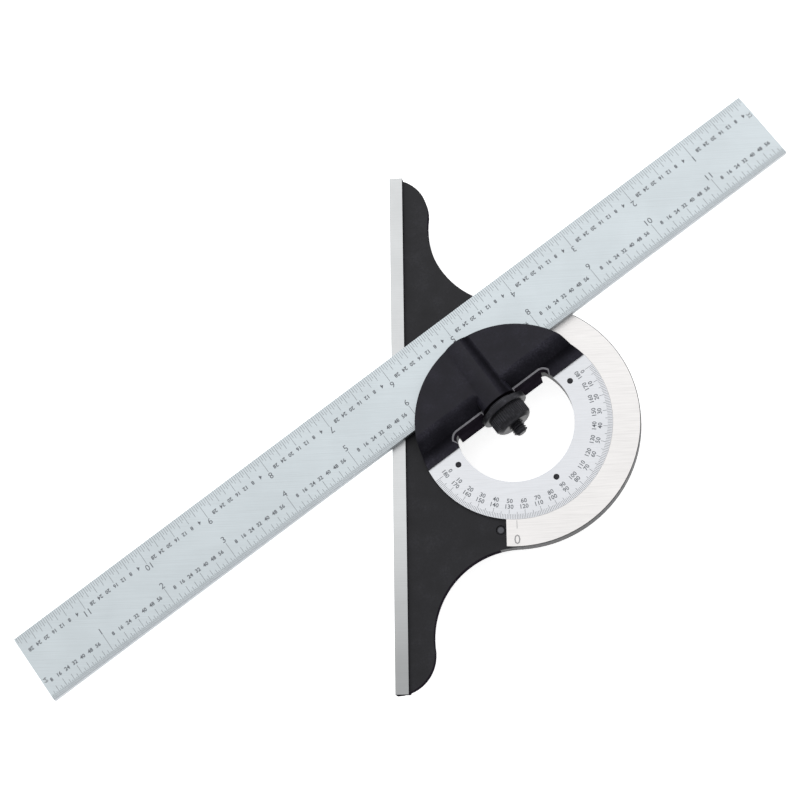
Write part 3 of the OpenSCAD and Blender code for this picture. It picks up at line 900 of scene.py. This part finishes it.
class PROTRACTOR_OT_rule(PieceOperator, bpy.types.Operator):
    """Twelve inch rule, graduated in 64ths and 32nds in front and 8ths and 16ths behind"""
    bl_idname = "protractor.rule"
    bl_label = "Rule"

    def execute(self, context):
        edges = context.scene.protractor_edges
        marks = context.scene.protractor_marks
        low, high = extent("rule", TURRET)
        blade = whole_copy("rule", "rule_blade")
        finish_piece(blade, "blade", "satin_chrome", "satin_chrome", "rule_edge",
                     replaces=["rule"])
        paint_faces(blade, 1, lambda centre, normal: abs(normal.z) < 0.5)
        soften(blade, edges.plate, 2)

        inches = round((high.x - low.x) / INCH)
        # Each edge: its zero end, the turn that puts it there, the parts of its inch, the
        # step of its small figures, and in millimetres how far in its inch figures stand and
        # its lines reach, from the shortest to the inch line
        for name, zero, turn, parts, part_step, figure_at, reaches in (
                ("rule_64ths", (low.x, low.y, high.z), "", 64, 8, 9.4,
                 (1.6, 2.0, 2.8, 3.8, 4.4, 5.0, 8.0)),
                ("rule_32nds", (high.x, high.y, high.z), "Z", 32, 4, 8.0,
                 (2.1, 2.8, 3.8, 4.4, 5.0, 6.6)),
                ("rule_16ths", (high.x, low.y, low.z), "Y", 16, 0, 9.0, (2.8, 3.8, 4.4, 5.0, 7.6)),
                ("rule_8ths", (low.x, high.y, low.z), "X", 8, 0, 9.0, (3.8, 4.4, 5.0, 7.6))):
            pieces = rule_lines(inches, parts, [reach * MM for reach in reaches], marks)
            for inch in range(1, inches):
                spot = Matrix.Translation((inch * INCH, figure_at * MM, 0))
                pieces += stamp(figure(str(inch), marks.inch_figure, marks.proud), [spot])
            for number in range(part_step, parts, part_step) if part_step else ():
                label = figure(str(number), marks.part_figure, marks.proud, marks.weight)
                pieces += stamp(label, [
                    Matrix.Translation(((inch + number / parts) * INCH, 6.3 * MM, 0))
                    for inch in range(inches)])
            # The number of parts stands on its side beside the zero end
            side = Matrix.Translation((1.35 * MM, 7.4 * MM, 0)) \
                @ Matrix.Rotation(math.pi / 2, 4, "Z")
            pieces += stamp(figure(str(parts), marks.part_figure, marks.proud), [side])
            lines = join(pieces, name)
            place(lines, TURRET @ Matrix.Translation(zero)
                  @ Matrix.Rotation(math.pi if turn else 0.0, 4, turn or "Z"))
            finish_piece(lines, "blade", "satin_chrome", "ink")
        return {"FINISHED"}


class PROTRACTOR_OT_clamp(PieceOperator, bpy.types.Operator):
    """Hook bolt with its thread, knurled clamp nut, washer and spring"""
    bl_idname = "protractor.clamp"
    bl_label = "Clamp"

    def execute(self, context):
        edges = context.scene.protractor_edges
        clamp = context.scene.protractor_clamp
        self.nut(clamp, edges)
        self.bolt(clamp, edges)
        carried("nut_washer", "clamp_washer", "turret", "black_steel", "oxide",
                edges.fitting * 0.7)
        NODES["clamp_spring"].material_slots[0].material = material("spring")
        return {"FINISHED"}

    def nut(self, clamp, edges):
        """Turned flange and barrel with a straight knurl and a rounded outer end."""
        low, high = extent("clamp_nut", BOLT)
        flange_r = (high.x - low.x) / 2
        bore = min(math.hypot(p.x, p.y) for p in points_in(NODES["clamp_nut"], BOLT))
        r, c = clamp.barrel, clamp.chamfer
        edge = edges.fitting
        shoulder = high.z - clamp.flange
        outline = [
            (bore + edge, low.z), (r - c, low.z), (r - c * 0.62, low.z + c * 0.18),
            (r - c * 0.28, low.z + c * 0.5), (r, low.z + c), (r, shoulder - 2 * edge),
            (r - 0.15 * MM, shoulder), (flange_r - 2 * edge, shoulder),
            (flange_r - edge * 0.6, shoulder + edge * 0.6), (flange_r, shoulder + 2 * edge),
            (flange_r, high.z - 2 * edge), (flange_r - edge * 0.6, high.z - edge * 0.6),
            (flange_r - 2 * edge, high.z), (bore + edge, high.z), (bore, high.z - edge),
            (bore, low.z + edge),
        ]
        nut = turned("knurled_nut", outline, 2 * clamp.teeth)
        knurl(nut, clamp.teeth, r, clamp.knurl, low.z + c - 1e-6, shoulder)
        place(nut, BOLT)
        soften(nut, 0, angle=24)
        finish_piece(nut, "nut", "black_steel", "oxide", replaces=["clamp_nut"])

    def bolt(self, clamp, edges):
        """The bolt's body and lug as they are, its stud turned down to the thread's core, and
        the thread swept round it."""
        bolt = whole_copy("hook_bolt", "hook_bolt_threaded")
        place(bolt, BOLT.inverted())
        low, high = extent("hook_bolt", BOLT)
        stud_top = extent("clamp_spring", BOLT)[1].z - 0.1 * MM
        crest = max(math.hypot(p.x, p.y) for p in points_in(bolt) if p.z < stud_top)
        core = crest - clamp.thread
        draw_in(bolt, lambda p: p.z < stud_top, core / crest)
        soften(bolt, edges.fitting, 2)

        # The thread's profile is a triangle, its foot sunk into the core, its point outwards
        sunk = 0.1 * MM
        profile_r = (clamp.thread + sunk) / 1.5
        bpy.ops.object.select_all(action="DESELECT")
        bpy.ops.mesh.primitive_circle_add(
            vertices=3, radius=profile_r, rotation=(math.pi / 2, math.pi / 2, 0))
        thread = name_piece(bpy.context.object, "hook_bolt_thread")
        bpy.ops.object.transform_apply()
        wide = 0.94 * clamp.pitch / (math.sqrt(3) * profile_r)
        place(thread, Matrix.Translation((core - sunk + profile_r / 2, 0, low.z + 0.75 * MM))
              @ Matrix.Diagonal((1, 1, wide, 1)))
        apply(thread, "SCREW", axis="Z", angle=2 * math.pi, screw_offset=clamp.pitch,
              iterations=int((stud_top - low.z - 1.2 * MM) / clamp.pitch), steps=32,
              render_steps=32, use_merge_vertices=False)
        edit(thread)
        bpy.ops.mesh.remove_doubles(threshold=1e-7)
        bpy.ops.mesh.select_all(action="DESELECT")
        bpy.ops.mesh.select_non_manifold(extend=False)
        bpy.ops.mesh.fill_holes(sides=0)
        bpy.ops.mesh.select_all(action="SELECT")
        bpy.ops.mesh.normals_make_consistent(inside=False)
        done()
        bolt = join([bolt, thread], "hook_bolt_threaded")
        place(bolt, BOLT)
        soften(bolt, 0, angle=40)
        finish_piece(bolt, "bolt", "black_steel", "oxide", replaces=["hook_bolt"])


class PROTRACTOR_OT_level(PieceOperator, bpy.types.Operator):
    """Spirit level behind the turret: brass sleeve, glass, spirit, reading lines and plugs"""
    bl_idname = "protractor.level"
    bl_label = "Level"

    def execute(self, context):
        edges = context.scene.protractor_edges
        low, high = extent("vial_glass", TURRET)
        tube = (high.y - low.y) / 2
        carried("vial_sleeve", "level_sleeve", "turret", "brass", "brass", edges.plate * 0.5)
        for side in ("left", "right"):
            carried("vial_plug_" + side, side + "_level_plug", "turret", "black_plug", "rubber",
                    edges.fitting * 1.5, 3)
        NODES["vial_glass"].material_slots[0].material = material("glass")
        NODES["vial_liquid"].material_slots[0].material = material("spirit")

        # Two ink bands round the tube, either side of its middle
        inner, outer, half = tube + 0.003 * MM, tube + 0.02 * MM, 0.18 * MM
        lines = join([turned("level_line", [
            (inner, at - half), (outer, at - half), (outer, at + half), (inner, at + half),
        ], 64) for at in (-3.2 * MM, 3.2 * MM)], "level_lines")
        place(lines, TURRET @ Matrix.Translation((low + high) / 2)
              @ Matrix.Rotation(math.pi / 2, 4, "Y"))
        soften(lines, 0)
        finish_piece(lines, "turret", "black_plug", "ink")
        return {"FINISHED"}


class PROTRACTOR_OT_locks(PieceOperator, bpy.types.Operator):
    """The two knurled lock screws behind the head, with their washers and shoes"""
    bl_idname = "protractor.locks"
    bl_label = "Lock screws"

    def execute(self, context):
        edges = context.scene.protractor_edges
        clamp = context.scene.protractor_clamp
        for side in ("lower", "upper"):
            for part, width in (("shoe", edges.fitting), ("washer", edges.fitting * 0.6)):
                carried(f"lock_{part}_{side}", f"{side}_lock_{part}", side + "_shoe",
                        "plain_steel", "steel", width)
            self.screw(side, edges, clamp)
        return {"FINISHED"}

    def screw(self, side, edges, clamp):
        """A turned screw: rounded tip, shank, neck and knurled head, from front to back."""
        node = "lock_screw_" + side
        spot = Vector(JOINTS[side + "_lock_turn"]["pos_m"])
        backwards = axes(Vector((1, 0, 0)), Vector((0, -1, 0)), -UP, spot)
        low, high = extent(node, backwards)
        points = points_in(NODES[node], backwards)
        head_r = high.x
        shank = max(math.hypot(p.x, p.y) for p in points if p.z < low.z + ROUGHLY)
        head_from = min(p.z for p in points if math.hypot(p.x, p.y) > head_r - ROUGHLY)
        neck_from = min(p.z for p in points if math.hypot(p.x, p.y) > shank + 0.5 * MM)
        neck = head_r - 1.2 * MM
        e = edges.fitting
        dish = 0.2 * MM
        outline = [
            (1.0 * MM, low.z), (1.05 * MM, low.z + 0.04 * MM), (shank - 0.15 * MM, low.z + 0.08 * MM),
            (shank, low.z + 0.2 * MM), (shank, neck_from), (neck, neck_from), (neck, head_from),
            (head_r - 2 * e, head_from), (head_r, head_from + 1.5 * e),
            (head_r, high.z - 2 * e), (head_r - 0.6 * e, high.z - 0.6 * e),
            (head_r - 2 * e, high.z), (head_r - 6 * e, high.z),
            (head_r - 7 * e, high.z - dish), (0.6 * MM, high.z - dish),
        ]
        screw = turned(side + "_lock_screw", outline, 72, ring=False)
        knurl(screw, 36, head_r, clamp.knurl * 0.7, head_from + e, high.z - e)
        place(screw, backwards)
        soften(screw, 0, angle=24)
        finish_piece(screw, side + "_screw", "black_steel", "oxide", "rubbed", replaces=[node])
        paint_faces(screw, 1, lambda c, n: c.z > spot.z - low.z - 0.01 * MM)


class PROTRACTOR_OT_stage(PieceOperator, bpy.types.Operator):
    """Pale paper floor, soft surround, one key light above the far end, and the camera"""
    bl_idname = "protractor.stage"
    bl_label = "Stage"

    def execute(self, context):
        stage = context.scene.protractor_stage
        scene = context.scene
        scene.view_settings.view_transform = "Standard"

        bpy.ops.object.select_all(action="DESELECT")
        bpy.ops.mesh.primitive_plane_add(size=6.0, location=(0, 0, CAD_BOX[0][2]))
        floor = name_piece(context.object, "paper_floor")
        bpy.ops.object.transform_apply()
        floor.data.materials.append(material("paper"))

        world = scene.world or bpy.data.worlds.new("soft_surround")
        scene.world = world
        world.use_nodes = True
        tree = world.node_tree
        # The surround is brightest past the far end and dims towards the near one
        way = add(tree, "ShaderNodeTexCoord", {}).outputs["Generated"]
        side = add(tree, "ShaderNodeVectorMath", {0: way, 1: (-0.15, 0.99, 0.0)},
                   operation="DOT_PRODUCT").outputs["Value"]
        spot = add(tree, "ShaderNodeMapRange", {
            "Value": side, "From Min": -0.6, "From Max": 0.4}).outputs["Result"]
        glow = add(tree, "ShaderNodeValToRGB", {"Fac": spot}, [
            (mark, rgba([grey] * 3)) for mark, grey in (
                (0.0, 0.48), (0.45, 0.64), (0.7, 0.93), (1.0, 1.0))]).outputs["Color"]
        connect(tree, tree.nodes["Background"], {"Color": glow, "Strength": stage.sky})

        middle = (Vector(CAD_BOX[0]) + Vector(CAD_BOX[1])) / 2
        lamp_at = middle + Vector((-0.3, 0.95, 0.7))
        bpy.ops.object.light_add(type="AREA", location=lamp_at)
        lamp = context.object
        lamp.name = "key_light"
        lamp.data.energy = stage.key
        lamp.data.size = 1.1
        lamp.rotation_euler = (middle - lamp_at).to_track_quat("-Z", "Y").to_euler()

        bpy.ops.object.camera_add()
        camera = context.object
        camera.name = "camera"
        gaze = Vector(stage.gaze).normalized()
        right = gaze.cross(Vector(stage.head_up)).normalized()
        camera.matrix_world = axes(right, right.cross(gaze), -gaze, Vector(stage.eye))
        camera.data.lens = stage.lens
        camera.data.sensor_width = 36.0
        camera.data.clip_start = 0.01
        camera.data.clip_end = 20.0
        scene.camera = camera
        return {"FINISHED"}


OPERATORS = (
    PROTRACTOR_OT_stage,
    PROTRACTOR_OT_head,
    PROTRACTOR_OT_turret,
    PROTRACTOR_OT_dial,
    PROTRACTOR_OT_rule,
    PROTRACTOR_OT_clamp,
    PROTRACTOR_OT_level,
    PROTRACTOR_OT_locks,
)


class VIEW3D_PT_protractor(bpy.types.Panel):
    bl_label = "Protractor"
    bl_space_type = "VIEW_3D"
    bl_region_type = "UI"
    bl_category = "Protractor"

    def draw(self, context):
        for operator in OPERATORS:
            self.layout.operator(operator.bl_idname)
        for key in SETTINGS:
            box = self.layout.box()
            group = getattr(context.scene, key)
            for name in group.__annotations__:
                box.prop(group, name)


CLASSES = (*SETTINGS.values(), *OPERATORS, VIEW3D_PT_protractor)


def register():
    for cls in CLASSES:
        bpy.utils.register_class(cls)
    for key, group in SETTINGS.items():
        setattr(bpy.types.Scene, key, PointerProperty(type=group))


def unregister():
    for key in SETTINGS:
        delattr(bpy.types.Scene, key)
    for cls in reversed(CLASSES):
        bpy.utils.unregister_class(cls)


def main():
    register()
    for operator in OPERATORS:
        namespace, name = operator.bl_idname.split(".")
        getattr(getattr(bpy.ops, namespace), name)()


if __name__ == "__main__":
    main()
